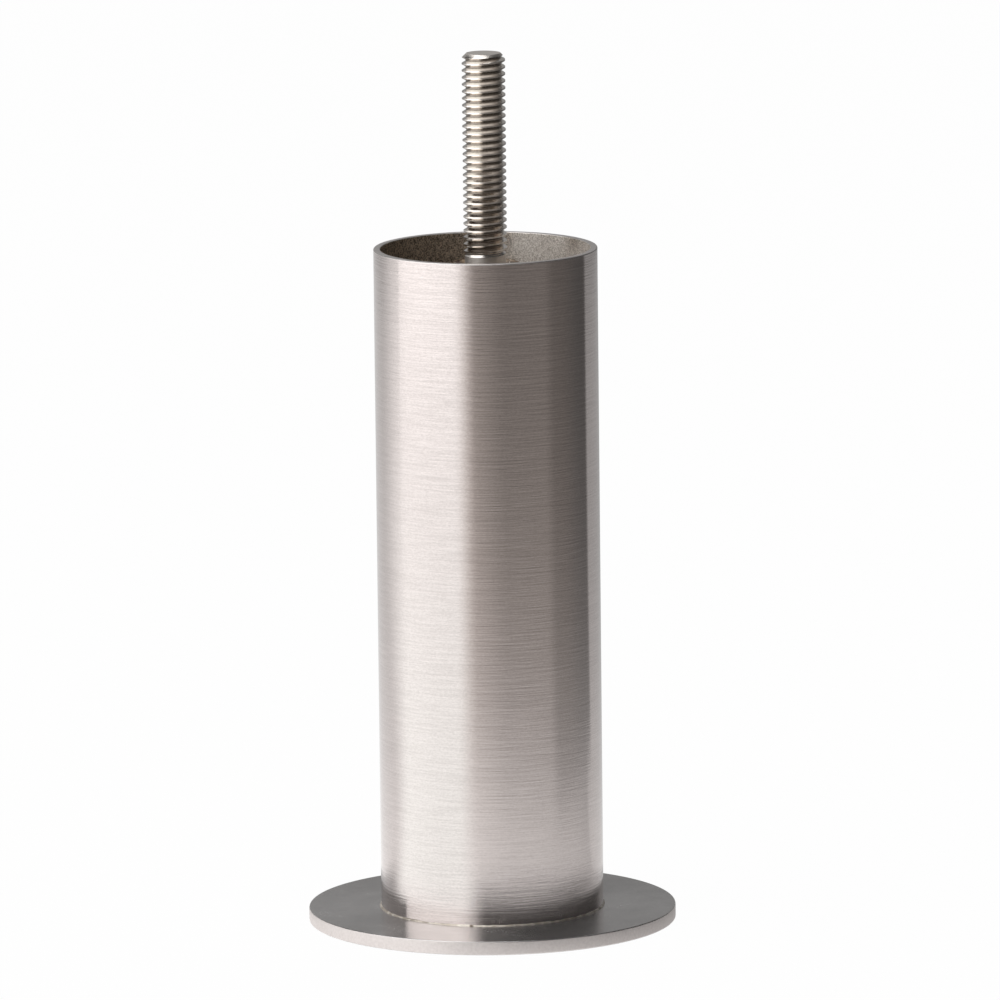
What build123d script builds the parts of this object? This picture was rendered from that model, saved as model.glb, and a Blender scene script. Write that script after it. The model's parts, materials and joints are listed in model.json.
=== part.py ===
from build123d import *
from math import floor
import os

# Furniture leg: a round steel tube welded to a flat round foot. A bridge plate closes the
# tube just below its rim and carries a bolt, whose thread stands up as the fixing stud.
# Millimetres, +Z up, with the origin in the middle of the foot's underside.

# Foot plate
FOOT_DIAMETER = 66.0
FOOT_THICKNESS = 2.5
FOOT_EDGE_ROUND = 0.25

# Tube, with its height measured from the floor to the rim
LEG_HEIGHT = 122.0
TUBE_DIAMETER = 40.0
TUBE_WALL = 1.2
RIM_ROUND = 0.2

# Seam weld in the corner between the tube and the foot
SEAM_LEG = 0.35

# Bridge plate, with its depth measured from the rim down to its upper face
BRIDGE_DEPTH = 6.5
BRIDGE_THICKNESS = 4.0
BRIDGE_CLEARANCE = 0.1

# Stud, an M8 bolt put through the bridge plate from below, with its thread's outside diameter
THREAD_DIAMETER = 7.75
THREAD_PITCH = 1.25
THREAD_DEPTH = 0.7
CREST_WIDTH = 0.25
ROOT_WIDTH = 0.125
STUD_RISE = 35.0
TIP_CHAMFER = 0.8
THREAD_END_DEPTH = 1.4
NECK_DIAMETER = 7.35
STUD_HOLE_CLEARANCE = 0.2
HEAD_ACROSS_FLATS = 13.0
HEAD_HEIGHT = 5.3

# Welds in the mouth of the tube
STUD_WELD_LEG = 2.5
TACK_LEG = 2.2
TACK_SPAN = 44.0
TACK_COUNT = 4

# Places that several pieces share
tube_radius = TUBE_DIAMETER / 2
bore_radius = tube_radius - TUBE_WALL
neck_radius = NECK_DIAMETER / 2
thread_radius = THREAD_DIAMETER / 2
root_radius = thread_radius - THREAD_DEPTH
bridge_top = LEG_HEIGHT - BRIDGE_DEPTH
bridge_bottom = bridge_top - BRIDGE_THICKNESS
thread_bottom = LEG_HEIGHT - THREAD_END_DEPTH
stud_top = LEG_HEIGHT + STUD_RISE

# Grooves of the thread, counted down from one that the tip cuts through
groove_floor = ROOT_WIDTH / 2
groove_mouth = (THREAD_PITCH - CREST_WIDTH) / 2
top_groove = stud_top + THREAD_PITCH / 4
groove_count = 1 + floor((top_groove - groove_mouth - thread_bottom) / THREAD_PITCH)
blank_top = top_groove + THREAD_PITCH

# Edge rounds never take more than a third of the wall that they sit on
foot_edge_round = min(FOOT_EDGE_ROUND, FOOT_THICKNESS / 3)
rim_round = min(RIM_ROUND, TUBE_WALL / 3)

os.makedirs("parts", exist_ok=True)

# Foot plate: a disc with both edges lightly rounded
with BuildPart() as foot_plate:
    with BuildSketch(Plane.XY):
        Circle(FOOT_DIAMETER / 2)
    extrude(amount=FOOT_THICKNESS)
    fillet(foot_plate.edges().filter_by(GeomType.CIRCLE), radius=foot_edge_round)
foot_plate.part.label = "foot_plate"
export_step(foot_plate.part, "parts/foot_plate.step")

# Tube: stands square on the foot, with its rim deburred inside and out
with BuildPart() as tube:
    with BuildSketch(Plane.XY.offset(FOOT_THICKNESS)):
        Circle(tube_radius)
        Circle(bore_radius, mode=Mode.SUBTRACT)
    extrude(amount=LEG_HEIGHT - FOOT_THICKNESS)
    rim = tube.faces().sort_by(Axis.Z)[-1]
    fillet(rim.edges(), radius=rim_round)
tube.part.label = "tube"
export_step(tube.part, "parts/tube.step")

# Foot seam: a fine fillet weld all the way round the tube's foot
with BuildPart() as foot_seam:
    with BuildSketch(Plane.XZ):
        with BuildLine():
            Polyline(
                (tube_radius, FOOT_THICKNESS),
                (tube_radius + SEAM_LEG, FOOT_THICKNESS),
                (tube_radius, FOOT_THICKNESS + SEAM_LEG),
                close=True,
            )
        make_face()
    revolve(axis=Axis.Z)
foot_seam.part.label = "foot_seam"
export_step(foot_seam.part, "parts/foot_seam.step")

# Bridge plate: a disc that slips into the tube, with a hole that lets the thread through
with BuildPart() as bridge_plate:
    with BuildSketch(Plane.XY.offset(bridge_bottom)):
        Circle(bore_radius - BRIDGE_CLEARANCE)
        Circle(thread_radius + STUD_HOLE_CLEARANCE, mode=Mode.SUBTRACT)
    extrude(amount=BRIDGE_THICKNESS)
bridge_plate.part.label = "bridge_plate"
export_step(bridge_plate.part, "parts/bridge_plate.step")

# One tack: a short fillet weld that starts at +X and runs round the bore
with BuildPart() as tack:
    with BuildSketch(Plane.XZ):
        with BuildLine():
            Polyline(
                (bore_radius, bridge_top),
                (bore_radius, bridge_top + TACK_LEG),
                (bore_radius - TACK_LEG, bridge_top),
                close=True,
            )
        make_face()
    revolve(axis=Axis.Z, revolution_arc=TACK_SPAN)

# Bridge tacks: they hold the bridge plate to the tube's wall, one centred on each quarter
with BuildPart() as bridge_tacks:
    with PolarLocations(0, TACK_COUNT, start_angle=-TACK_SPAN / 2):
        add(tack.part)
bridge_tacks.part.label = "bridge_tacks"
export_step(bridge_tacks.part, "parts/bridge_tacks.step")

# Thread grooves: the turns of the thread, drawn as level rings between the crests
with BuildPart() as grooves:
    with BuildSketch(Plane.XZ):
        for turn in range(groove_count):
            middle = top_groove - turn * THREAD_PITCH
            with BuildLine():
                Polyline(
                    (root_radius, middle - groove_floor),
                    (thread_radius, middle - groove_mouth),
                    (thread_radius, middle + groove_mouth),
                    (root_radius, middle + groove_floor),
                    close=True,
                )
            make_face()
    revolve(axis=Axis.Z)

# Stud: hexagon head under the bridge plate, plain neck through it, then the thread
with BuildPart() as stud:
    with BuildSketch(Plane.XY.offset(bridge_bottom)):
        RegularPolygon(HEAD_ACROSS_FLATS / 2, side_count=6, major_radius=False)
    extrude(amount=-HEAD_HEIGHT)
    with BuildSketch(Plane.XY.offset(bridge_bottom)):
        Circle(neck_radius)
    extrude(amount=thread_bottom - bridge_bottom)
    with BuildSketch(Plane.XY.offset(thread_bottom)):
        Circle(thread_radius)
    extrude(amount=blank_top - thread_bottom)
    add(grooves.part, mode=Mode.SUBTRACT)
    with BuildSketch(Plane.XZ):
        with BuildLine():
            Polyline(
                (0, stud_top),
                (thread_radius - TIP_CHAMFER, stud_top),
                (thread_radius, stud_top - TIP_CHAMFER),
                (thread_radius, blank_top),
                (0, blank_top),
                close=True,
            )
        make_face()
    revolve(axis=Axis.Z, mode=Mode.SUBTRACT)
stud.part.label = "stud"
export_step(stud.part, "parts/stud.step")

# Stud weld: a fillet weld that ties the stud's neck to the bridge plate
with BuildPart() as stud_weld:
    with BuildSketch(Plane.XZ):
        with BuildLine():
            Polyline(
                (neck_radius, bridge_top),
                (neck_radius + STUD_WELD_LEG, bridge_top),
                (neck_radius, bridge_top + STUD_WELD_LEG),
                close=True,
            )
        make_face()
    revolve(axis=Axis.Z)
stud_weld.part.label = "stud_weld"
export_step(stud_weld.part, "parts/stud_weld.step")
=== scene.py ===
# %% [markdown]
# # A brushed steel furniture leg
#
# The real leg is a round tube welded to a flat round foot. A bolt stands up out of the tube's open
# top, and screws into the furniture. This lesson builds it in Blender around a finished CAD frame:
# the frame says where every piece is, and the script gives each one its final mesh and finish.

# %% Load the frame
import json
import math

import bmesh
import bpy
from mathutils import Matrix, Vector, noise


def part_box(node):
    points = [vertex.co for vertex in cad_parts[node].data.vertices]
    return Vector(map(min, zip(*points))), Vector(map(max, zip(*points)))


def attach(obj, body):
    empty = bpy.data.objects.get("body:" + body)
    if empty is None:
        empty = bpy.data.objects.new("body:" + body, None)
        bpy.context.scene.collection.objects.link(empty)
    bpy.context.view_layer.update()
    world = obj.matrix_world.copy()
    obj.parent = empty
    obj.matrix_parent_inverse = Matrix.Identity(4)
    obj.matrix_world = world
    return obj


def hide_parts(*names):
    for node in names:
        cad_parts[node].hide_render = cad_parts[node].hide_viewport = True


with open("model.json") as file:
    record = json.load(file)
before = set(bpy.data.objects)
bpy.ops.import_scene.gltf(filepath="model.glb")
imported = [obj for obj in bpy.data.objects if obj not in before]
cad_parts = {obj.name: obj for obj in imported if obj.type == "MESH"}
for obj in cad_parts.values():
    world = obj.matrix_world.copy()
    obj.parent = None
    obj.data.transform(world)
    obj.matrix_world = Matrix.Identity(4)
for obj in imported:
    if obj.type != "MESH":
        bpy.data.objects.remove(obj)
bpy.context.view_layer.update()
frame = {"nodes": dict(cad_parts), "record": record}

print("frame nodes:", sorted(frame["nodes"]))

# %% [markdown]
# ## Sizes
#
# A CAD node can be measured, so nearly every size is read from the frame and nothing is typed twice.
# A box gives heights. For a round piece, the smallest and largest distance from the leg's axis give
# its bore and its outside. Everything in Blender is in metres, so a helper turns millimetres into
# metres for the few sizes that the solids leave out.

# %% Sizes from the frame
def mm(value):
    return value / 1000


def reach(node):
    """A node's smallest and largest distance from the leg's axis."""
    distances = [vert.co.xy.length for vert in frame["nodes"][node].data.vertices]
    return min(distances), max(distances)


foot_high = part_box("foot_plate")[1]
tube_low, tube_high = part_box("tube")
rim_height = tube_high.z
foot_radius = foot_high.x
bore_radius, tube_radius = reach("tube")
print(f"tube {2000 * tube_radius:.1f} mm across, bore {2000 * bore_radius:.1f} mm")
print(f"foot {2000 * foot_radius:.1f} mm across, rim {1000 * rim_height:.1f} mm above the floor")

# %% [markdown]
# ## Working with bmesh
#
# Nearly every piece of this leg was turned, drawn or rolled, so it is a section swept round the leg's
# axis. The spin operator does that: a few vertices make the section, and spin carries it round. A full
# spin meets its own start, so it is told to merge there. Normals are recalculated afterwards, because a
# spin can turn a shell inside out.

# %% Turning and finishing helpers
AXIS = Vector((0, 0, 1))
TURN_STEPS = 192
SHARP_ANGLE = math.radians(40)
SAME_PLACE = mm(0.001)
ROUND_SEGMENTS = 3


def turned(section, steps=TURN_STEPS, angle=math.tau):
    """Sweeps a closed section of (radius, height) points round the leg's axis."""
    mesh = bmesh.new()
    corners = [mesh.verts.new((radius, 0, height)) for radius, height in section]
    sides = [mesh.edges.new(pair) for pair in zip(corners, corners[1:] + corners[:1])]
    whole = math.isclose(angle, math.tau)
    bmesh.ops.spin(mesh, geom=corners + sides, axis=AXIS, angle=angle, steps=steps, use_merge=whole)
    return mesh


def edges_at(mesh, height, radius):
    """The edges of one turned ring, found by height and radius."""
    def on_ring(vert):
        level = math.isclose(vert.co.z, height, abs_tol=SAME_PLACE)
        return level and math.isclose(vert.co.xy.length, radius, abs_tol=SAME_PLACE)

    return [edge for edge in mesh.edges if all(on_ring(vert) for vert in edge.verts)]


def round_edges(mesh, edges, radius):
    bmesh.ops.bevel(
        mesh, geom=edges, offset=radius, offset_type="OFFSET", affect="EDGES",
        segments=ROUND_SEGMENTS, profile=0.5, material=-1, clamp_overlap=True,
    )


def finished(mesh, name, node, materials):
    """Closes a bmesh into a piece that rides on the leg and stands for one CAD node."""
    bmesh.ops.remove_doubles(mesh, verts=mesh.verts, dist=SAME_PLACE)
    bmesh.ops.recalc_face_normals(mesh, faces=mesh.faces)
    for face in mesh.faces:
        face.smooth = True
    for edge in mesh.edges:
        edge.smooth = edge.calc_face_angle(0) < SHARP_ANGLE
    open_edges = sum(not edge.is_manifold for edge in mesh.edges)
    data = bpy.data.meshes.new(name)
    mesh.to_mesh(data)
    mesh.free()
    for material in materials:
        data.materials.append(material)
    piece = bpy.data.objects.new(name, data)
    bpy.context.collection.objects.link(piece)
    normals = piece.modifiers.new("flat faces stay flat", "WEIGHTED_NORMAL")
    normals.keep_sharp = True
    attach(piece, "root")
    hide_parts(node)
    print(f"{name}: {len(data.vertices)} vertices, {len(data.polygons)} faces, {open_edges} open edges")
    return piece


# %% [markdown]
# ## Writing shaders as expressions
#
# A brushed finish is a handful of noises, scaled and added. Written as nodes and links one by one that
# is hard to read, so a small class wraps a socket and overloads the operators: `0.3 + 0.1 * streaks`
# adds the two Math nodes and links them. Any other node comes from one method, `node`.

# %% The wire class
class Wire:
    """One output socket in a node tree."""

    def __init__(self, tree, socket):
        self.tree = tree
        self.socket = socket

    def node(self, kind, settings=None, inputs=None, output=0):
        """Adds a node to this wire's tree: its settings first, then its sockets' values or links."""
        made = self.tree.nodes.new(kind)
        for name, value in (settings or {}).items():
            setattr(made, name, value)
        for name, value in (inputs or {}).items():
            join(self.tree, value, made.inputs[name])
        return Wire(self.tree, made.outputs[output])

    def math(self, operation, *values):
        return self.node("ShaderNodeMath", {"operation": operation}, dict(enumerate(values)))

    def __add__(self, other):
        return self.math("ADD", self, other)

    def __radd__(self, other):
        return self.math("ADD", other, self)

    def __sub__(self, other):
        return self.math("SUBTRACT", self, other)

    def __rsub__(self, other):
        return self.math("SUBTRACT", other, self)

    def __mul__(self, other):
        return self.math("MULTIPLY", self, other)

    def __rmul__(self, other):
        return self.math("MULTIPLY", other, self)

    def __truediv__(self, other):
        return self.math("DIVIDE", self, other)

    def __rtruediv__(self, other):
        return self.math("DIVIDE", other, self)

    def __pow__(self, other):
        return self.math("POWER", self, other)

    def __neg__(self):
        return self.math("MULTIPLY", self, -1)

    def __abs__(self):
        return self.math("ABSOLUTE", self)

    def rise(self, low, high):
        """0 below low, 1 above high, and a smooth step between them."""
        limits = {"Value": self, "From Min": low, "From Max": high}
        return self.node("ShaderNodeMapRange", {"interpolation_type": "SMOOTHSTEP"}, limits)

    def mix(self, first, second):
        """The first colour where this wire is 0, the second where it is 1."""
        return self.node("ShaderNodeMix", {"data_type": "RGBA"}, {0: self, 6: first, 7: second}, 2)

    def part(self, letter):
        return self.node("ShaderNodeSeparateXYZ", None, {"Vector": self}, letter)

    def across(self):
        """The distance from the leg's axis."""
        return (self.part("X") ** 2 + self.part("Y") ** 2) ** 0.5

    def noise(self, lumps, detail=2.0, roughness=0.5):
        """Noise with this many lumps to the metre along X, Y and Z."""
        placed = self.node("ShaderNodeMapping", None, {"Vector": self, "Scale": lumps})
        look = {"Vector": placed, "Scale": 1.0, "Detail": detail, "Roughness": roughness}
        return self.node("ShaderNodeTexNoise", None, look, "Fac")

    def bump(self, strength, depth):
        """A normal that this wire's height has roughened."""
        look = {"Strength": strength, "Distance": depth, "Height": self}
        return self.node("ShaderNodeBump", None, look, "Normal")


def join(tree, value, socket):
    """Links a wire to a socket, or sets the socket to a plain value."""
    if isinstance(value, Wire):
        tree.links.new(value.socket, socket)
    elif socket.type == "RGBA":
        socket.default_value = (*value, 1)
    else:
        socket.default_value = value


def new_finish(name):
    """A material with its shader, and a wire that carries Object coordinates."""
    material = bpy.data.materials.new(name)
    material.use_nodes = True
    tree = material.node_tree
    place = Wire(tree, tree.nodes.new("ShaderNodeTexCoord").outputs["Object"])
    return material, tree.nodes["Principled BSDF"], place


def dress(shader, **values):
    """Sets or links a shader's sockets, which are written here with _ for a space."""
    for name, value in values.items():
        join(shader.id_data, value, shader.inputs[name.replace("_", " ")])


# %% [markdown]
# ## Brushed steel
#
# The tube was polished with a belt while it turned, so its scratches run round it. They are much finer
# than a pixel: what the eye sees is a reflection that stays crisp across the tube and smears along it.
# That is an anisotropic shader. Cycles' own tangent runs round Z, and a quarter turn of rotation
# stretches the highlight across the scratches, which is along the tube. Noise that is long round the
# tube and short along it adds the scratches that are coarse enough to see.
#
# The top of the foot was turned, so its reflections smear outwards from the tube. Fine dents and dust
# scatter a little light there, so it isn't wholly metallic. The tube's rim and the foot's edge were only
# cut: they are duller, and they smear no reflection.

# %% Brushed and cut finishes
ACROSS_SCRATCHES = 0.25
STREAK_RANGE = (0.3, 0.7)
SCRATCH_DEPTH = mm(0.02)
TUBE_DARK, TUBE_LIGHT = (0.592, 0.538, 0.519), (0.718, 0.655, 0.634)
FOOT_DARK, FOOT_LIGHT = (0.53, 0.51, 0.50), (0.72, 0.695, 0.68)
RIM_DARK, RIM_LIGHT, RIM_ROUGHNESS = (0.66, 0.62, 0.60), (0.82, 0.79, 0.77), 0.38
EDGE_DARK, EDGE_LIGHT, EDGE_ROUGHNESS = (0.61, 0.562, 0.542), (0.81, 0.762, 0.742), 0.52


def brushed_tube():
    material, shader, place = new_finish("brushed_tube")
    grain = place.noise((2000, 2000, 4200), roughness=0.6)
    scratches = place.noise((130, 130, 3200), roughness=0.6)
    clouds = place.noise((60, 60, 45))
    streaks = 0.5 * grain + 0.5 * scratches
    dress(
        shader, Metallic=1.0, Anisotropic=0.8, Anisotropic_Rotation=ACROSS_SCRATCHES,
        Base_Color=streaks.rise(*STREAK_RANGE).mix(TUBE_DARK, TUBE_LIGHT),
        Roughness=0.08 + 0.08 * streaks + 0.03 * clouds,
        Normal=scratches.bump(0.8, SCRATCH_DEPTH),
    )
    return material


def brushed_foot():
    material, shader, place = new_finish("brushed_foot")
    grain = place.noise((3000, 3000, 3000), roughness=0.6)
    stains = place.noise((140, 140, 140), detail=3)
    mottle = 0.5 * stains + 0.5 * grain
    dress(
        shader, Metallic=0.88, Anisotropic=0.85, Anisotropic_Rotation=ACROSS_SCRATCHES,
        Base_Color=mottle.rise(*STREAK_RANGE).mix(FOOT_DARK, FOOT_LIGHT),
        Roughness=0.18 + 0.08 * stains + 0.06 * grain,
        Normal=grain.bump(0.6, SCRATCH_DEPTH),
    )
    return material


def cut_steel(name, dark, light, roughness):
    """Steel as a saw or a lathe leaves it, without any brushing."""
    material, shader, place = new_finish(name)
    grain = place.noise((2200, 2200, 2200))
    dress(
        shader, Metallic=1.0,
        Base_Color=grain.mix(dark, light),
        Roughness=roughness + 0.12 * grain,
        Normal=grain.bump(0.1, SCRATCH_DEPTH),
    )
    return material


tube_finish = brushed_tube()
foot_finish = brushed_foot()
rim_finish = cut_steel("cut_rim", RIM_DARK, RIM_LIGHT, RIM_ROUGHNESS)
edge_finish = cut_steel("cut_edge", EDGE_DARK, EDGE_LIGHT, EDGE_ROUGHNESS)
print("finishes:", tube_finish.name, foot_finish.name, rim_finish.name, edge_finish.name)

# %% [markdown]
# ## Inside the mouth
#
# Nobody polished the inside. Welding the bridge plate left a brown heat stain on the wall, with scale
# and spatter as fine dark specks. The stain is also painted shade: it is darkest on the left of the
# mouth, where shade falls. A slow noise moves the edge of the dark part about, and two fast ones make
# the specks. The bridge plate still has the dark scale of the rolling mill.

# %% Stained and scaled finishes
BARE_WALL, BARE_SCALE = (1.0, 0.95, 0.89), (0.55, 0.49, 0.43)
# The stained colours are heat stain and painted shade together.
STAINED_AND_SHADED_WALL, STAINED_AND_SHADED_SCALE = (0.60, 0.49, 0.38), (0.11, 0.084, 0.065)
PLATE_DARK, PLATE_LIGHT = (0.13, 0.115, 0.105), (0.30, 0.27, 0.245)
SCALE_DEPTH = mm(0.03)


def stained_bore():
    material, shader, place = new_finish("stained_bore")
    wander = place.noise((170, 170, 120), detail=3)
    specks = place.noise((4200, 4200, 4200), roughness=0.65)
    blotches = place.noise((1300, 1300, 900), detail=3, roughness=0.65)
    lean = place.part("X") / bore_radius
    # Stain and painted shade: the wall gets darker towards the left, where shade falls.
    heat_and_shade = 0.62 - 1.1 * lean + 0.8 * lean.rise(0.3, 0.9) + 1.2 * (wander - 0.5)
    stain_and_shade = heat_and_shade.rise(0.1, 0.9)
    wall = stain_and_shade.mix(BARE_WALL, STAINED_AND_SHADED_WALL)
    scale = stain_and_shade.mix(BARE_SCALE, STAINED_AND_SHADED_SCALE)
    dress(
        shader, Metallic=0.5,
        Base_Color=(0.8 * specks + 0.2 * blotches).rise(0.38, 0.62).mix(wall, scale),
        Roughness=0.38 + 0.25 * specks,
        Normal=specks.bump(0.25, SCALE_DEPTH),
    )
    return material


def mill_scale():
    material, shader, place = new_finish("mill_scale")
    mottle = place.noise((700, 700, 700), detail=4, roughness=0.65)
    dress(
        shader, Metallic=0.8,
        Base_Color=mottle.rise(0.3, 0.7).mix(PLATE_DARK, PLATE_LIGHT),
        Roughness=0.42 + 0.2 * mottle,
        Normal=mottle.bump(0.15, SCALE_DEPTH),
    )
    return material


bore_finish = stained_bore()
scale_finish = mill_scale()
print("finishes:", bore_finish.name, scale_finish.name)

# %% [markdown]
# ## Weld metal
#
# A bead freezes under a thin crust, and the heat leaves it straw and brown. In the mouth the crust was
# never cleaned off, and a few bright sparks of spatter stick to it. It is darker on the left, where the
# wall is stained most. The seam at the foot was brushed with the tube: it is pale, with a few dark pits.

# %% Weld finishes
LEFT_CRUST_DARK, LEFT_CRUST_LIGHT = (0.07, 0.05, 0.045), (0.34, 0.26, 0.18)
RIGHT_CRUST_DARK, RIGHT_CRUST_LIGHT = (0.22, 0.17, 0.14), (0.52, 0.44, 0.36)
SPARK = (0.75, 0.70, 0.62)
SEAM_DARK, SEAM_LIGHT, SEAM_PIT = (0.52, 0.46, 0.39), (0.82, 0.76, 0.68), (0.16, 0.12, 0.09)
CRUST_DEPTH = mm(0.05)


def weld_crust():
    material, shader, place = new_finish("weld_crust")
    mottle = place.noise((900, 900, 900), detail=4, roughness=0.65)
    sparks = place.noise((2600, 2600, 2600), detail=1).rise(0.66, 0.76)
    right = place.part("X").rise(0, bore_radius / 2)
    dark = right.mix(LEFT_CRUST_DARK, RIGHT_CRUST_DARK)
    light = right.mix(LEFT_CRUST_LIGHT, RIGHT_CRUST_LIGHT)
    crust = mottle.rise(0.35, 0.7).mix(dark, light)
    dress(
        shader, Metallic=0.9,
        Base_Color=sparks.mix(crust, SPARK),
        Roughness=0.35 + 0.3 * mottle,
        Normal=mottle.bump(0.4, CRUST_DEPTH),
    )
    return material


def seam_metal():
    material, shader, place = new_finish("seam_metal")
    mottle = place.noise((900, 900, 900), detail=3)
    pits = place.noise((420, 420, 420), detail=1).rise(0.72, 0.80)
    cream = mottle.rise(0.35, 0.65).mix(SEAM_DARK, SEAM_LIGHT)
    dress(
        shader, Metallic=0.65,
        Base_Color=pits.mix(cream, SEAM_PIT),
        Roughness=0.3 + 0.2 * mottle,
    )
    return material


weld_finish = weld_crust()
seam_finish = seam_metal()
print("finishes:", weld_finish.name, seam_finish.name)

# %% [markdown]
# ## The tube
#
# The tube is a rectangle swept round the axis, with its rim deburred. The brushed finish is on the
# outside, a duller one on the cut rim, and the stained one, which carries painted shade too, on the wall
# inside.

# %% Tube
RIM_ROUND = mm(0.2)
WALL_MARGIN = RIM_ROUND / 8
# The third slot carries the wall's stain and its painted shade.
BRUSHED, CUT, STAINED_AND_SHADED = 0, 1, 2

tube_mesh = turned((
    (bore_radius, tube_low.z),
    (tube_radius, tube_low.z),
    (tube_radius, rim_height),
    (bore_radius, rim_height),
))
rim_edges = edges_at(tube_mesh, rim_height, tube_radius) + edges_at(tube_mesh, rim_height, bore_radius)
round_edges(tube_mesh, rim_edges, RIM_ROUND)
for face in tube_mesh.faces:
    middle = face.calc_center_median()
    if middle.xy.length < bore_radius + WALL_MARGIN:
        face.material_index = STAINED_AND_SHADED
    elif middle.z > rim_height - RIM_ROUND:
        face.material_index = CUT
    else:
        face.material_index = BRUSHED
finished(tube_mesh, "tube_piece", "tube", [tube_finish, rim_finish, bore_finish])

# %% [markdown]
# ## The foot plate
#
# The foot was cut from sheet, so it is a flat disc: a filled circle, extruded and lightly rounded. Faces
# that look sideways have the finish of the cut edge, and the others have the turned one.

# %% Foot plate
FOOT_EDGE_ROUND = mm(0.25)
SIDEWAYS = 0.5

foot_mesh = bmesh.new()
bmesh.ops.create_circle(foot_mesh, cap_ends=True, segments=TURN_STEPS, radius=foot_radius)
grown = bmesh.ops.extrude_face_region(foot_mesh, geom=foot_mesh.faces[:], use_keep_orig=True)
raised = [item for item in grown["geom"] if isinstance(item, bmesh.types.BMVert)]
bmesh.ops.translate(foot_mesh, verts=raised, vec=AXIS * foot_high.z)
foot_edges = edges_at(foot_mesh, 0, foot_radius) + edges_at(foot_mesh, foot_high.z, foot_radius)
round_edges(foot_mesh, foot_edges, FOOT_EDGE_ROUND)
foot_mesh.normal_update()
for face in foot_mesh.faces:
    face.material_index = CUT if abs(face.normal.z) < SIDEWAYS else BRUSHED
finished(foot_mesh, "foot_piece", "foot_plate", [foot_finish, edge_finish])

# %% [markdown]
# ## The seam
#
# A fine weld runs round the tube's foot. Its section is a small rounded fillet, and noise makes it
# thicker and thinner along its way, so that the bead isn't perfect.

# %% Foot seam
SEAM_STEPS = 720
SEAM_THINNING = 0.55
SEAM_LUMPS = 900
SEAM_FACE = 0.62

seam_low, seam_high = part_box("foot_seam")
seam_leg = seam_high.x - tube_radius
seam_mesh = turned((
    (tube_radius, seam_low.z),
    (tube_radius + seam_leg, seam_low.z),
    (tube_radius + seam_leg * SEAM_FACE, seam_low.z + seam_leg * SEAM_FACE),
    (tube_radius, seam_low.z + seam_leg),
), steps=SEAM_STEPS)
for vert in seam_mesh.verts:
    flat = vert.co.xy
    out = flat.length - tube_radius
    up = vert.co.z - seam_low.z
    size = 1 - SEAM_THINNING * (0.5 + 0.5 * noise.noise(vert.co * SEAM_LUMPS))
    vert.co.xy = flat.normalized() * (tube_radius + out * size)
    vert.co.z = seam_low.z + up * size
finished(seam_mesh, "seam_piece", "foot_seam", [seam_finish])

# %% [markdown]
# ## The stud's thread
#
# The stud is a bolt with a rolled right-hand thread. The frame's pin mount gives the thread's radius and
# its lower end. The solids draw the turns as level rings, so the tooth is described here, by its pitch
# and by shares of it.

# %% Sizes of the thread
PITCH = mm(1.25)
THREAD_DEPTH = 0.56 * PITCH
CREST_SHARE = 0.2
ROOT_SHARE = 0.1
ROUNDNESS = 0.15
TOOTH_POINTS = 20
THREAD_STEPS = 64
DOUBLINGS = 5
TIP_CHAMFER = mm(0.8)

stud_low, stud_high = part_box("stud")
bridge_low, bridge_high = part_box("bridge_plate")
neck_radius = reach("stud_weld")[0]
pin = next(mount for mount in frame["record"]["mounts"] if mount["name"] == "stud")
thread_radius = mm(pin["dims"]["r_mm"])
thread_low = pin["pos_m"][2] - mm(pin["dims"]["length_mm"]) / 2
print(f"thread {2000 * thread_radius:.2f} mm from {1000 * thread_low:.1f} to {1000 * stud_high.z:.1f} mm")

# %% [markdown]
# ## The stud's steel
#
# Rolling leaves a thread smooth and bright. Its roots are darker, partly from grime and partly as
# painted shade, so the finish follows the distance from the axis, and a fine noise makes the edge of the
# dark roots uneven. The cut tip and the plain neck are duller than the thread.

# %% Steel of the stud
# The roots' dark colour is grime and painted shade together.
ROOT_GRIME_AND_SHADE, BOLT_STEEL = (0.36, 0.32, 0.28), (0.85, 0.80, 0.75)
GRIME_AND_SHADE_SHARE = 0.3
GRIME_AND_SHADE_WANDER = mm(0.15)
NECK_BELOW, NECK_ABOVE = mm(0.3), mm(0.5)


def rolled_thread():
    material, shader, place = new_finish("rolled_thread")
    mottle = place.noise((4500, 4500, 4500))
    height = place.part("Z")
    root = thread_radius - THREAD_DEPTH
    # Painted shade: the roots take the dark colour, along with their grime.
    uneven = place.across() + GRIME_AND_SHADE_WANDER * (mottle - 0.5)
    crest = uneven.rise(root, root + GRIME_AND_SHADE_SHARE * THREAD_DEPTH)
    tip = height.rise(stud_high.z - TIP_CHAMFER, stud_high.z)
    neck = 1 - height.rise(thread_low - NECK_BELOW, thread_low + NECK_ABOVE)
    clean_and_unshaded = crest + (1 - crest) * tip
    dress(
        shader, Metallic=1.0,
        Base_Color=clean_and_unshaded.mix(ROOT_GRIME_AND_SHADE, BOLT_STEEL),
        Roughness=0.12 + 0.08 * mottle + 0.3 * tip + 0.3 * neck,
        Normal=mottle.bump(0.3, SCRATCH_DEPTH),
    )
    return material


thread_finish = rolled_thread()
print("finish:", thread_finish.name)

# %% [markdown]
# ## Winding the thread
#
# The thread is one tooth, swept up a helix: spin takes a step along the axis with each step round it.
# A right-hand thread climbs while it turns anticlockwise. The section covers exactly one pitch, so a
# turn fits on the turn below it. One turn is spun, and then everything is copied and lifted until there
# are enough turns, which is much faster than spinning them all. Merging doubles sews them together.

# %% Threaded rod
SPARE_TURNS = 1.5
SEW_DISTANCE = mm(0.002)


def tooth_height(share):
    """How far out a point of the tooth stands, from 0 at the root to 1 at the crest."""
    from_crest = abs(share - 0.5) * 2
    flank = (1 - ROOT_SHARE - from_crest) / (1 - ROOT_SHARE - CREST_SHARE)
    flank = min(1.0, max(0.0, flank))
    rolled = flank * flank * (3 - 2 * flank)
    return ROUNDNESS * rolled + (1 - ROUNDNESS) * flank


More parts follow.
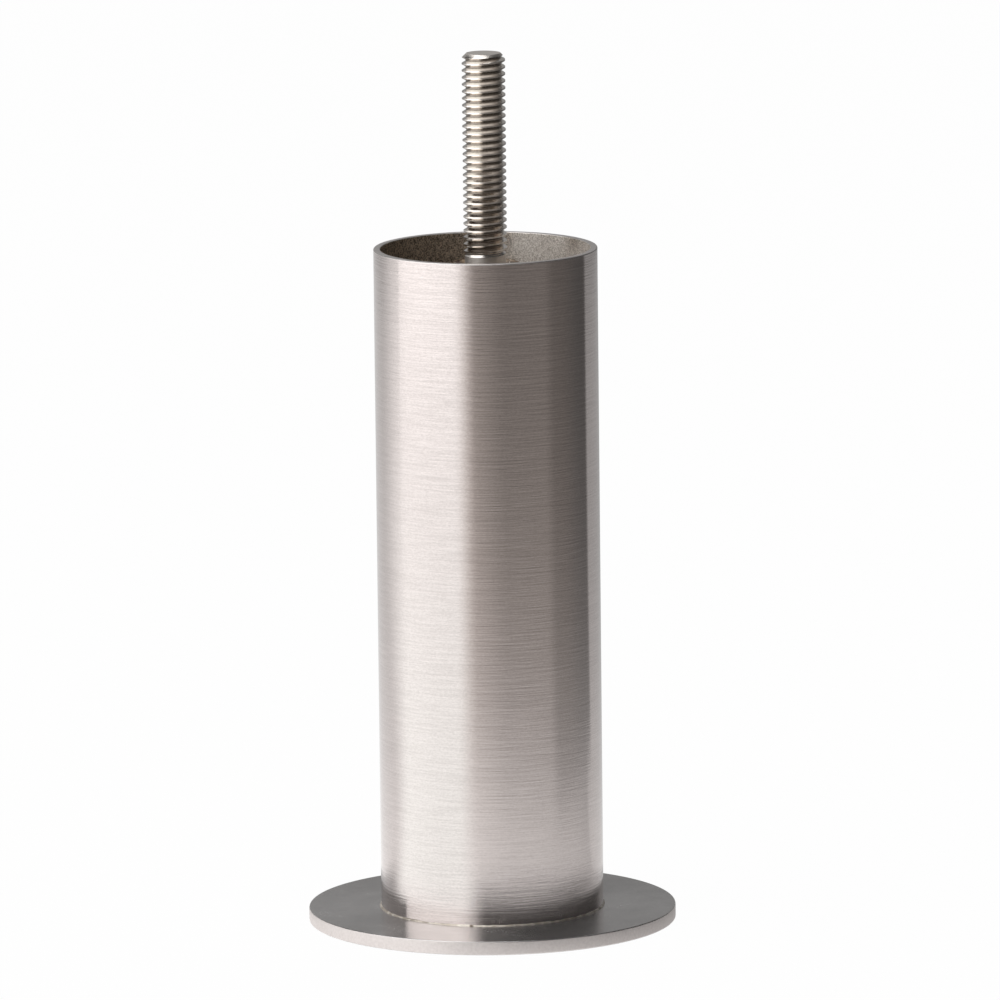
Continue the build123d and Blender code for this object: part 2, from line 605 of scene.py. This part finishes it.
turns = 2 ** DOUBLINGS
start = stud_high.z + SPARE_TURNS * PITCH - turns * PITCH
stud_mesh = bmesh.new()
tooth = []
for index in range(TOOTH_POINTS + 1):
    share = index / TOOTH_POINTS
    radius = thread_radius - THREAD_DEPTH * (1 - tooth_height(share))
    tooth.append(stud_mesh.verts.new((radius, 0, start + (share - 1) * PITCH)))
links = [stud_mesh.edges.new(pair) for pair in zip(tooth, tooth[1:])]
bmesh.ops.spin(
    stud_mesh, geom=tooth + links, axis=AXIS, angle=math.tau,
    steps=THREAD_STEPS, dvec=AXIS * (PITCH / THREAD_STEPS),
)
for doubling in range(DOUBLINGS):
    everything = stud_mesh.verts[:] + stud_mesh.edges[:] + stud_mesh.faces[:]
    copied = bmesh.ops.duplicate(stud_mesh, geom=everything)
    lifted = [item for item in copied["geom"] if isinstance(item, bmesh.types.BMVert)]
    bmesh.ops.translate(stud_mesh, verts=lifted, vec=AXIS * (PITCH * 2 ** doubling))
bmesh.ops.remove_doubles(stud_mesh, verts=stud_mesh.verts, dist=SEW_DISTANCE)
print(f"{turns} turns, {len(stud_mesh.verts)} vertices")

# %% [markdown]
# ## The ends of the stud
#
# A formula limits the radius of every vertex: the thread fades into the plain neck at its foot, and
# into a cone at its chamfered tip. Then two planes cut the rod to length. The neck is drawn down from
# the lower cut, and its edge is bridged to a hexagon for the bolt's head, which is hidden in the tube.

# %% Stud
RUN_OUT = mm(1.1)
HEAD_SIDES = 6


def limited(radius, height):
    """The thread's radius where it runs out into the neck and where the tip is chamfered."""
    fade = min(1.0, max(0.0, (height - thread_low) / RUN_OUT))
    radius = neck_radius + (radius - neck_radius) * fade
    cone = thread_radius + stud_high.z - TIP_CHAMFER - height
    return min(radius, max(cone, thread_radius - TIP_CHAMFER))


def cut_level(mesh, height, side):
    """Keeps what lies above a height (side 1) or below it (side -1), and gives the cut's edges."""
    everything = mesh.verts[:] + mesh.edges[:] + mesh.faces[:]
    bmesh.ops.bisect_plane(
        mesh, geom=everything, plane_co=AXIS * height, plane_no=AXIS * side, clear_inner=True,
    )
    bmesh.ops.remove_doubles(mesh, verts=mesh.verts, dist=SAME_PLACE)
    return [edge for edge in mesh.edges if edge.is_boundary and is_level(edge, height)]


def is_level(edge, height):
    return all(math.isclose(vert.co.z, height, abs_tol=SAME_PLACE) for vert in edge.verts)


def drawn_down(mesh, edges, height):
    """Draws a level ring of edges down to a height, and gives the new ring."""
    grown = bmesh.ops.extrude_edge_only(mesh, edges=edges)["geom"]
    for item in grown:
        if isinstance(item, bmesh.types.BMVert):
            item.co.z = height
    return [item for item in grown if isinstance(item, bmesh.types.BMEdge)]


for vert in stud_mesh.verts:
    distance = vert.co.xy.length
    vert.co.xy *= limited(distance, vert.co.z) / distance
tip_edges = cut_level(stud_mesh, stud_high.z, -1)
bmesh.ops.edgeloop_fill(stud_mesh, edges=tip_edges)
neck_edges = cut_level(stud_mesh, thread_low - RUN_OUT / 2, 1)
neck_foot = drawn_down(stud_mesh, neck_edges, bridge_low.z)
hexagon = bmesh.ops.create_circle(
    stud_mesh, segments=HEAD_SIDES, radius=stud_high.x, matrix=Matrix.Translation(AXIS * bridge_low.z),
)
head_top = list({edge for vert in hexagon["verts"] for edge in vert.link_edges})
bmesh.ops.bridge_loops(stud_mesh, edges=neck_foot + head_top)
head_foot = drawn_down(stud_mesh, head_top, stud_low.z)
bmesh.ops.edgeloop_fill(stud_mesh, edges=head_foot)
finished(stud_mesh, "stud_piece", "stud", [thread_finish])

# %% [markdown]
# ## What holds the stud
#
# The bridge plate lies just below the rim, with a hole that the bolt was put through from below. It is
# swept like the tube, and its upper edge is rounded.

# %% Bridge plate
PLATE_EDGE_ROUND = mm(0.2)

hole_radius, plate_radius = reach("bridge_plate")
bridge_mesh = turned((
    (hole_radius, bridge_low.z),
    (plate_radius, bridge_low.z),
    (plate_radius, bridge_high.z),
    (hole_radius, bridge_high.z),
))
round_edges(bridge_mesh, edges_at(bridge_mesh, bridge_high.z, plate_radius), PLATE_EDGE_ROUND)
finished(bridge_mesh, "bridge_piece", "bridge_plate", [scale_finish])

# %% [markdown]
# ## Weld beads
#
# A bead ties the stud's neck to the plate. It is a rounded fillet, with ripples where the weld pool
# froze. The section is swept like everything else, and noise then pulls each point towards the corner.

# %% Weld beads
COLLAR_STEPS = 128
BEAD_POINTS = 7
BEAD_FACE = 0.78
RIPPLE = 0.06
RIPPLES_TO_THE_METRE = 900
THIN_END = 0.05


def bead(corner_radius, inwards, leg, height, angle, steps):
    """A rounded fillet in the corner between a wall and the plate, swept round the leg's axis."""
    section = [(corner_radius, height)]
    for index in range(BEAD_POINTS):
        slope = math.pi / 2 * index / (BEAD_POINTS - 1)
        reach_out = leg * (BEAD_FACE + (1 - BEAD_FACE) * abs(math.cos(2 * slope)))
        section.append((
            corner_radius + inwards * reach_out * math.cos(slope),
            height + reach_out * math.sin(slope),
        ))
    return turned(section, steps, angle)


def rippled(mesh, corner_radius, height, half_angle=None):
    """Freezes ripples into a bead, and thins the ends of a short one, whose half angle is given."""
    for vert in mesh.verts:
        flat = vert.co.xy
        out = flat.length - corner_radius
        up = vert.co.z - height
        size = 1 - RIPPLE * (1 + noise.noise(vert.co * RIPPLES_TO_THE_METRE))
        if half_angle:
            share = min(1.0, abs(math.atan2(vert.co.y, vert.co.x)) / half_angle)
            size *= math.sqrt(1 - (1 - THIN_END) * share ** 2)
        vert.co.xy = flat.normalized() * (corner_radius + out * size)
        vert.co.z = height + up * size


collar_low, collar_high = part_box("stud_weld")
collar_leg = collar_high.z - collar_low.z
collar_mesh = bead(neck_radius, 1, collar_leg, collar_low.z, math.tau, COLLAR_STEPS)
rippled(collar_mesh, neck_radius, collar_low.z)
finished(collar_mesh, "collar_piece", "stud_weld", [weld_finish])

# %% [markdown]
# ## Tack welds
#
# Short beads hold the plate to the tube, and each is thinner at its ends. A spin that doesn't meet its
# start is open there, so its holes are filled. One tack is made, and turned copies make the others.

# %% Tack welds
TACK_STEPS = 64
TACK_HALF_ANGLE = math.radians(22)
TACK_COUNT = 4

tack_low, tack_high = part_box("bridge_tacks")
tack_leg = tack_high.z - tack_low.z
tack_mesh = bead(bore_radius, -1, tack_leg, tack_low.z, 2 * TACK_HALF_ANGLE, TACK_STEPS)
bmesh.ops.holes_fill(tack_mesh, edges=[edge for edge in tack_mesh.edges if edge.is_boundary], sides=0)
bmesh.ops.rotate(tack_mesh, verts=tack_mesh.verts, matrix=Matrix.Rotation(-TACK_HALF_ANGLE, 3, "Z"))
rippled(tack_mesh, bore_radius, tack_low.z, TACK_HALF_ANGLE)
one_tack = tack_mesh.verts[:] + tack_mesh.edges[:] + tack_mesh.faces[:]
for quarter in range(1, TACK_COUNT):
    copied = bmesh.ops.duplicate(tack_mesh, geom=one_tack)
    verts = [item for item in copied["geom"] if isinstance(item, bmesh.types.BMVert)]
    turn = Matrix.Rotation(quarter * math.tau / TACK_COUNT, 3, "Z")
    bmesh.ops.rotate(tack_mesh, verts=verts, matrix=turn)
finished(tack_mesh, "tacks_piece", "bridge_tacks", [weld_finish])

# %% [markdown]
# ## The studio
#
# The leg stands on a white sheet with a large soft light on its left. Polished steel shows its
# surroundings, so what the steel sees matters more than how much light falls on it. The camera looks
# down, so each row of the tube shows the sheet at one distance from the leg, and each column shows it in
# one direction. That is why the sheet has two looks: the camera sees plain white, and reflections see a
# pattern of light and shade. A direction is an angle round the leg, 0 towards the camera and growing to
# the right.

# %% Directions on the sheet
def soft_edge(low, high):
    """Where a soft edge begins and ends, given in degrees."""
    return math.radians(low), math.radians(high)


def azimuth_of(place):
    """The direction of a place, seen from the leg's axis."""
    return place.math("ARCTAN2", place.part("X"), -place.part("Y"))


def blend(share, first, second):
    """The first value where share is 0, the second where it is 1."""
    return first + (second - first) * share


SOFTBOX_LEFT_EDGE = soft_edge(-138, -90)
SOFTBOX_RIGHT_EDGE = soft_edge(-34, -11)
BACK_LEFT_EDGE = soft_edge(-70, -60)
BACK_RIGHT_EDGE = soft_edge(120, 124)

softbox_angle = (SOFTBOX_LEFT_EDGE[1] + SOFTBOX_RIGHT_EDGE[0]) / 2
softbox_way = Vector((math.sin(softbox_angle), -math.cos(softbox_angle), 0))
print(f"the soft light stands at {math.degrees(softbox_angle):.0f} degrees")

# %% [markdown]
# ## In front of the leg
#
# Light gathers in a pool round the leg and thins out with distance. It falls off towards the right, where
# past a soft edge a deeper shade begins. Close to the leg the shade ends in a rounded corner.

# %% Front of the sheet
POOL_RADIUS = 0.19
FRONT_GLOW, FRONT_POOL = 0.155, 0.96
FALL_NEAR, FALL_NEAR_EDGE = 0.25, soft_edge(0, 110)
FALL_FAR, FALL_FAR_EDGE = 0.30, soft_edge(60, 120)
FALL_END, FALL_END_EDGE = 0.10, soft_edge(80, 115)
FALL_REACH = (0.18, 0.42)
SHADE_DEPTH, SHADE_EDGE, SHADE_REACH = 0.25, soft_edge(60, 74), (0.12, 0.145)
SHADE_CORNER, SHADE_CORNER_EDGE = 0.04, soft_edge(74, 120)


def pool_of(distance):
    """1 at the leg, a half at the pool's radius, and little far away."""
    return 1 / (1 + (distance / POOL_RADIUS) ** 2)


def front_glow(angle, distance):
    near = FALL_NEAR * angle.rise(*FALL_NEAR_EDGE)
    far = FALL_FAR * angle.rise(*FALL_FAR_EDGE)
    fall = blend(distance.rise(*FALL_REACH), near, far) + FALL_END * angle.rise(*FALL_END_EDGE)
    corner = SHADE_CORNER * angle.rise(*SHADE_CORNER_EDGE)
    shade = angle.rise(*SHADE_EDGE) * (distance - corner).rise(*SHADE_REACH)
    return (FRONT_GLOW + FRONT_POOL * pool_of(distance)) * (1 - fall) * (1 - SHADE_DEPTH * shade)


# %% [markdown]
# ## Behind the leg
#
# Behind the leg the sheet is lit again, more on the left than on the right, and the outlines of the tube
# show it as two pale bands. Its right edge comes forward close to the leg. Far away the light fades.

# %% Back of the sheet
BACK_GLOW_LEFT, BACK_POOL_LEFT = 0.66, 0.43
BACK_GLOW_RIGHT, BACK_POOL_RIGHT = 0.36, 0.45
LEFT_TO_RIGHT = (-0.1, 0.1)
BACK_FADE, BACK_FADE_REACH = 0.6, (0.78, 0.95)
BACK_NEAR_SHIFT, BACK_NEAR_REACH = math.radians(10), (0.135, 0.20)


def back_share(angle, distance):
    """1 behind the leg, 0 in front of it."""
    forward = BACK_NEAR_SHIFT * (1 - distance.rise(*BACK_NEAR_REACH))
    return (angle + forward).rise(*BACK_RIGHT_EDGE) + (1 - angle.rise(*BACK_LEFT_EDGE))


def back_glow(angle, distance):
    pool = pool_of(distance)
    left = BACK_GLOW_LEFT + BACK_POOL_LEFT * pool
    right = BACK_GLOW_RIGHT + BACK_POOL_RIGHT * pool
    glow = blend(angle.rise(*LEFT_TO_RIGHT), left, right)
    return glow * (1 - BACK_FADE * distance.rise(*BACK_FADE_REACH))


# %% [markdown]
# ## Under the edge of the foot
#
# The foot's edge mirrors the strip of sheet next to it, which is still pale. Then comes a narrow ring of
# shadow, which the tube shows as a dark band above its seam, and then the open sheet.

# %% Shadow of the foot
CONTACT_GLOW_FRONT, CONTACT_GLOW_RIGHT, CONTACT_GLOW_BACK = 1.10, 0.78, 0.75
CONTACT_EDGE = (0.036, 0.050)
SHADOW_GLOW_FRONT, SHADOW_GLOW_BACK = 0.05, 0.42
SHADOW_BACK_EDGE = soft_edge(75, 118)
SHADOW_FROM = 0.047
SHADOW_TO_FRONT, SHADOW_TO_RIGHT, SHADOW_TO_BACK = 0.075, 0.073, 0.055
SHADOW_TO_BACK_EDGE = (1.9, 2.3)


def with_shadow(angle, distance, glow):
    """The sheet's glow, with the shadow of the foot on it."""
    to_right = angle.rise(0, math.pi / 2)
    to_back = abs(angle).rise(*SHADOW_BACK_EDGE)
    contact = blend(to_right, CONTACT_GLOW_FRONT, CONTACT_GLOW_RIGHT)
    contact = blend(to_back, contact, CONTACT_GLOW_BACK)
    shadow = blend(to_back, SHADOW_GLOW_FRONT, SHADOW_GLOW_BACK)
    ring = blend(distance.rise(*CONTACT_EDGE), contact, shadow)
    end = blend(to_right, SHADOW_TO_FRONT, SHADOW_TO_RIGHT)
    end = blend(abs(angle).rise(*SHADOW_TO_BACK_EDGE), end, SHADOW_TO_BACK)
    return blend(distance.rise(SHADOW_FROM, end), ring, glow)


# %% [markdown]
# ## In the soft light
#
# On the left the sheet lies in the soft light, which makes the bright band down the tube. Close to the
# leg the band's left edge is crisper, and its right edge lies a little further right. Some light spills
# past the right edge, and on the far left the foot shades a thin ring.

# %% Soft light on the sheet
SOFTBOX_GLOW_LEFT, SOFTBOX_GLOW_RIGHT = 1.30, 1.18
SPILL_FAR, SPILL_NEAR, SPILL_EDGE = 0.22, 0.40, soft_edge(-25, 22)
NEAR_LEFT_FROM, NEAR_LEFT_SHIFT = math.radians(-112), math.radians(3)
NEAR_LEFT_REACH = (0.05, 0.42)
NEAR_RIGHT_SHIFT, NEAR_RIGHT_REACH = math.radians(8), (0.05, 0.09)
LEFT_SHADOW, LEFT_SHADOW_EDGE, LEFT_SHADOW_END = 0.85, soft_edge(-98, -72), (0.045, 0.050)


def softbox_share(angle, distance):
    """1 where the sheet lies in the soft light."""
    far = distance.rise(*NEAR_LEFT_REACH)
    left_from = blend(far, NEAR_LEFT_FROM, SOFTBOX_LEFT_EDGE[0])
    left = (angle - NEAR_LEFT_SHIFT * (1 - far)).rise(left_from, SOFTBOX_LEFT_EDGE[1])
    shift = NEAR_RIGHT_SHIFT * (1 - distance.rise(*NEAR_RIGHT_REACH))
    return left * (1 - (angle - shift).rise(*SOFTBOX_RIGHT_EDGE))


def softbox_spill(angle, distance):
    """How much of the soft light reaches the sheet past the light's right edge."""
    spill = (SPILL_FAR + SPILL_NEAR * pool_of(distance)) * (1 - angle.rise(*SPILL_EDGE))
    return spill * angle.rise(*BACK_LEFT_EDGE)


def softbox_glow(angle, distance):
    along = angle.rise(SOFTBOX_LEFT_EDGE[1], SOFTBOX_RIGHT_EDGE[0])
    ring = distance.rise(*CONTACT_EDGE) * (1 - distance.rise(*LEFT_SHADOW_END))
    shadow = LEFT_SHADOW * ring * (1 - angle.rise(*LEFT_SHADOW_EDGE))
    return blend(along, SOFTBOX_GLOW_LEFT, SOFTBOX_GLOW_RIGHT) * (1 - shadow)


# %% [markdown]
# ## All of the sheet
#
# The looks above are laid over one another, and nothing of the sheet shows behind the soft light. Colour
# comes last: the dim front is a little warm, and the sheet in the soft light is a little cool.

# %% The sheet's pattern
SOFTBOX_DISTANCE, SOFTBOX_FOOT = 0.9, 0.01
WHITE = (1, 1, 1)
WARM_SHIFT, WARM_REACH, WARM_LOSS = (0, -0.073, -0.125), (0.06, 0.40), 0.7
COOL_SHIFT, COOL_START, COOL_REACH = (0.03, 0.075, 0.065), (0.045, 0.06), (0.10, 0.62)


def shifted(colour, share, shift):
    """A colour moved by a share of a shift, channel by channel."""
    return share.node("ShaderNodeVectorMath", {"operation": "MULTIPLY_ADD"}, {0: share, 1: shift, 2: colour})


def sheet_tint(angle, distance, at_back, lit):
    warm = (1 - at_back) * (1 - lit) * distance.rise(*WARM_REACH)
    warm = warm * (1 - WARM_LOSS * angle.rise(*FALL_END_EDGE))
    cool = lit * distance.rise(*COOL_START) * (1 - distance.rise(*COOL_REACH))
    return shifted(shifted(WHITE, warm, WARM_SHIFT), cool, COOL_SHIFT)


def sheet_glow(place):
    """How the sheet looks to the steel, as a colour."""
    angle, distance = azimuth_of(place), place.across()
    at_back, lit = back_share(angle, distance), softbox_share(angle, distance)
    glow = blend(at_back, front_glow(angle, distance), back_glow(angle, distance))
    glow = blend(softbox_spill(angle, distance), glow, SOFTBOX_GLOW_RIGHT)
    glow = with_shadow(angle, distance, glow)
    glow = blend(lit, glow, softbox_glow(angle, distance))
    ahead = place.part("X") * softbox_way.x + place.part("Y") * softbox_way.y
    glow = glow * (1 - ahead.rise(SOFTBOX_DISTANCE - SOFTBOX_FOOT, SOFTBOX_DISTANCE + SOFTBOX_FOOT))
    tint = sheet_tint(angle, distance, at_back, lit)
    return tint.node("ShaderNodeVectorMath", {"operation": "SCALE"}, {0: tint, "Scale": glow})


# %% Floor
FLOOR_HALF = 4.0
FLOOR_DROP = mm(0.1)
SHEET_GREY = (0.8, 0.8, 0.8)
CAMERA_WHITE = 0.985


def white_sheet():
    """A plain sheet that takes shadows, nearly white to the camera and patterned in reflections."""
    material = bpy.data.materials.new("white_sheet")
    material.use_nodes = True
    tree = material.node_tree
    tree.nodes.remove(tree.nodes["Principled BSDF"])
    place = Wire(tree, tree.nodes.new("ShaderNodeTexCoord").outputs["Object"])
    sheet = place.node("ShaderNodeBsdfDiffuse", None, {"Color": SHEET_GREY})
    seen_in_steel = place.node("ShaderNodeEmission", None, {"Color": sheet_glow(place)})
    white = place.node("ShaderNodeEmission", None, {"Color": WHITE})
    glossy = place.node("ShaderNodeLightPath", output="Is Glossy Ray")
    camera = place.node("ShaderNodeLightPath", output="Is Camera Ray")
    plain = place.node("ShaderNodeMixShader", None, {0: glossy, 1: sheet, 2: seen_in_steel})
    shown = place.node("ShaderNodeMixShader", None, {0: camera * CAMERA_WHITE, 1: plain, 2: white})
    join(tree, shown, tree.nodes["Material Output"].inputs["Surface"])
    return material


floor_mesh = bmesh.new()
bmesh.ops.create_grid(
    floor_mesh, x_segments=1, y_segments=1, size=FLOOR_HALF,
    matrix=Matrix.Translation(AXIS * -FLOOR_DROP),
)
floor_data = bpy.data.meshes.new("floor")
floor_mesh.to_mesh(floor_data)
floor_mesh.free()
floor_data.materials.append(white_sheet())
floor = bpy.data.objects.new("floor", floor_data)
bpy.context.collection.objects.link(floor)
print(f"floor {2 * FLOOR_HALF:.0f} m across")

# %% [markdown]
# ## Above the sheet
#
# The room is dim, with a paler wall behind the leg, which the top of the foot shows. Low on the left is
# another pale wall, which shows at the tube's lower left after two reflections, in the foot and then in
# the tube. The camera sees white up here too.

# %% World
ROOM_GLOW, WALL_GLOW, WALL_EDGE = 0.05, 0.28, soft_edge(135, 155)
LEFT_WALL_GLOW, LEFT_WALL_TOP = 0.35, (0.3, 0.5)
LEFT_WALL_FROM, LEFT_WALL_TO = soft_edge(-165, -155), soft_edge(-105, -95)


def studio_world():
    world = bpy.data.worlds.new("studio")
    world.use_nodes = True
    tree = world.node_tree
    place = Wire(tree, tree.nodes.new("ShaderNodeTexCoord").outputs["Generated"])
    angle = azimuth_of(place)
    room = blend(abs(angle).rise(*WALL_EDGE), ROOM_GLOW, WALL_GLOW)
    left = angle.rise(*LEFT_WALL_FROM) * (1 - angle.rise(*LEFT_WALL_TO))
    left = left * (1 - place.part("Z").rise(*LEFT_WALL_TOP))
    camera = place.node("ShaderNodeLightPath", output="Is Camera Ray")
    glow = blend(camera, blend(left, room, LEFT_WALL_GLOW), 1)
    join(tree, glow, tree.nodes["Background"].inputs["Color"])
    return world


bpy.context.scene.world = studio_world()
print("world:", bpy.context.scene.world.name)

# %% [markdown]
# ## The lamps
#
# The soft light stands on the sheet, on the left. A smaller one hangs above the leg, and lights the mouth
# and the stud. The soft light fades towards its right, because a hard edge there would show in the foot.
# A lamp is described by the brightness of its face, so it can change size and still look as bright.

# %% Lamps
SOFTBOX_LEFT, SOFTBOX_RIGHT, SOFTBOX_HEIGHT = 0.715, 1.33, 2.2
SOFTBOX_RADIANCE = 1.38
SOFTBOX_FADE = (0.54, 0.96)
TOP_PLACE, TOP_TARGET = Vector((-0.10, 0, 0.9)), Vector((0, 0, 0))
TOP_SIZE = 0.5
TOP_RADIANCE = 1.6


def soft_lamp(name, place, target, width, height, radiance):
    """A rectangular lamp of one brightness all over, which is its power over four times its area."""
    lamp = bpy.data.lights.new(name, "AREA")
    lamp.shape = "RECTANGLE"
    lamp.size = width
    lamp.size_y = height
    lamp.energy = 4 * radiance * width * height
    holder = bpy.data.objects.new(name, lamp)
    holder.location = place
    holder.rotation_euler = (target - place).to_track_quat("-Z", "Y").to_euler()
    holder.visible_camera = False
    bpy.context.collection.objects.link(holder)
    print(f"{name}: {lamp.energy:.2f} W")
    return lamp


def fade_right(lamp, edge):
    """Dims a lamp towards its right side, from one share of its width to another."""
    lamp.use_nodes = True
    tree = lamp.node_tree
    place = Wire(tree, tree.nodes.new("ShaderNodeNewGeometry").outputs["Parametric"])
    cover = place.part("X").rise(*edge)
    join(tree, cover.mix(WHITE, (0, 0, 0)), tree.nodes["Emission"].inputs["Color"])


softbox_shift = AXIS.cross(softbox_way) * ((SOFTBOX_RIGHT - SOFTBOX_LEFT) / 2)
softbox_middle = AXIS * (SOFTBOX_HEIGHT / 2) + softbox_shift
softbox = soft_lamp(
    "softbox", softbox_middle + softbox_way * SOFTBOX_DISTANCE, softbox_middle,
    SOFTBOX_LEFT + SOFTBOX_RIGHT, SOFTBOX_HEIGHT, SOFTBOX_RADIANCE,
)
fade_right(softbox, SOFTBOX_FADE)
soft_lamp("top_light", TOP_PLACE, TOP_TARGET, TOP_SIZE, TOP_SIZE, TOP_RADIANCE)

# %% [markdown]
# ## The camera
#
# A long lens far away keeps the tube's sides parallel. The camera looks down a little, and is turned
# a fraction of a degree about its own axis, which makes the leg lean as it does in the photograph.

# %% Camera
CAMERA_DISTANCE = 1.99873
CAMERA_HEIGHT = 0.42403
CAMERA_PITCH = math.radians(9.8706)
CAMERA_YAW = math.radians(0.0612)
CAMERA_ROLL = math.radians(-0.6119)
FOCAL_SHARE = 11.3304
SENSOR_WIDTH = 36
CLIP_END = 100

camera_data = bpy.data.cameras.new("camera")
camera_data.sensor_width = SENSOR_WIDTH
camera_data.lens = SENSOR_WIDTH * FOCAL_SHARE
camera_data.clip_end = CLIP_END
camera = bpy.data.objects.new("camera", camera_data)
camera.matrix_world = (
    Matrix.Translation((0, -CAMERA_DISTANCE, CAMERA_HEIGHT))
    @ Matrix.Rotation(-CAMERA_YAW, 4, "Z")
    @ Matrix.Rotation(math.pi / 2 - CAMERA_PITCH, 4, "X")
    @ Matrix.Rotation(CAMERA_ROLL, 4, "Z")
)
bpy.context.collection.objects.link(camera)
bpy.context.scene.camera = camera
bpy.context.scene.view_settings.view_transform = "Standard"
print(f"lens {camera_data.lens:.0f} mm")
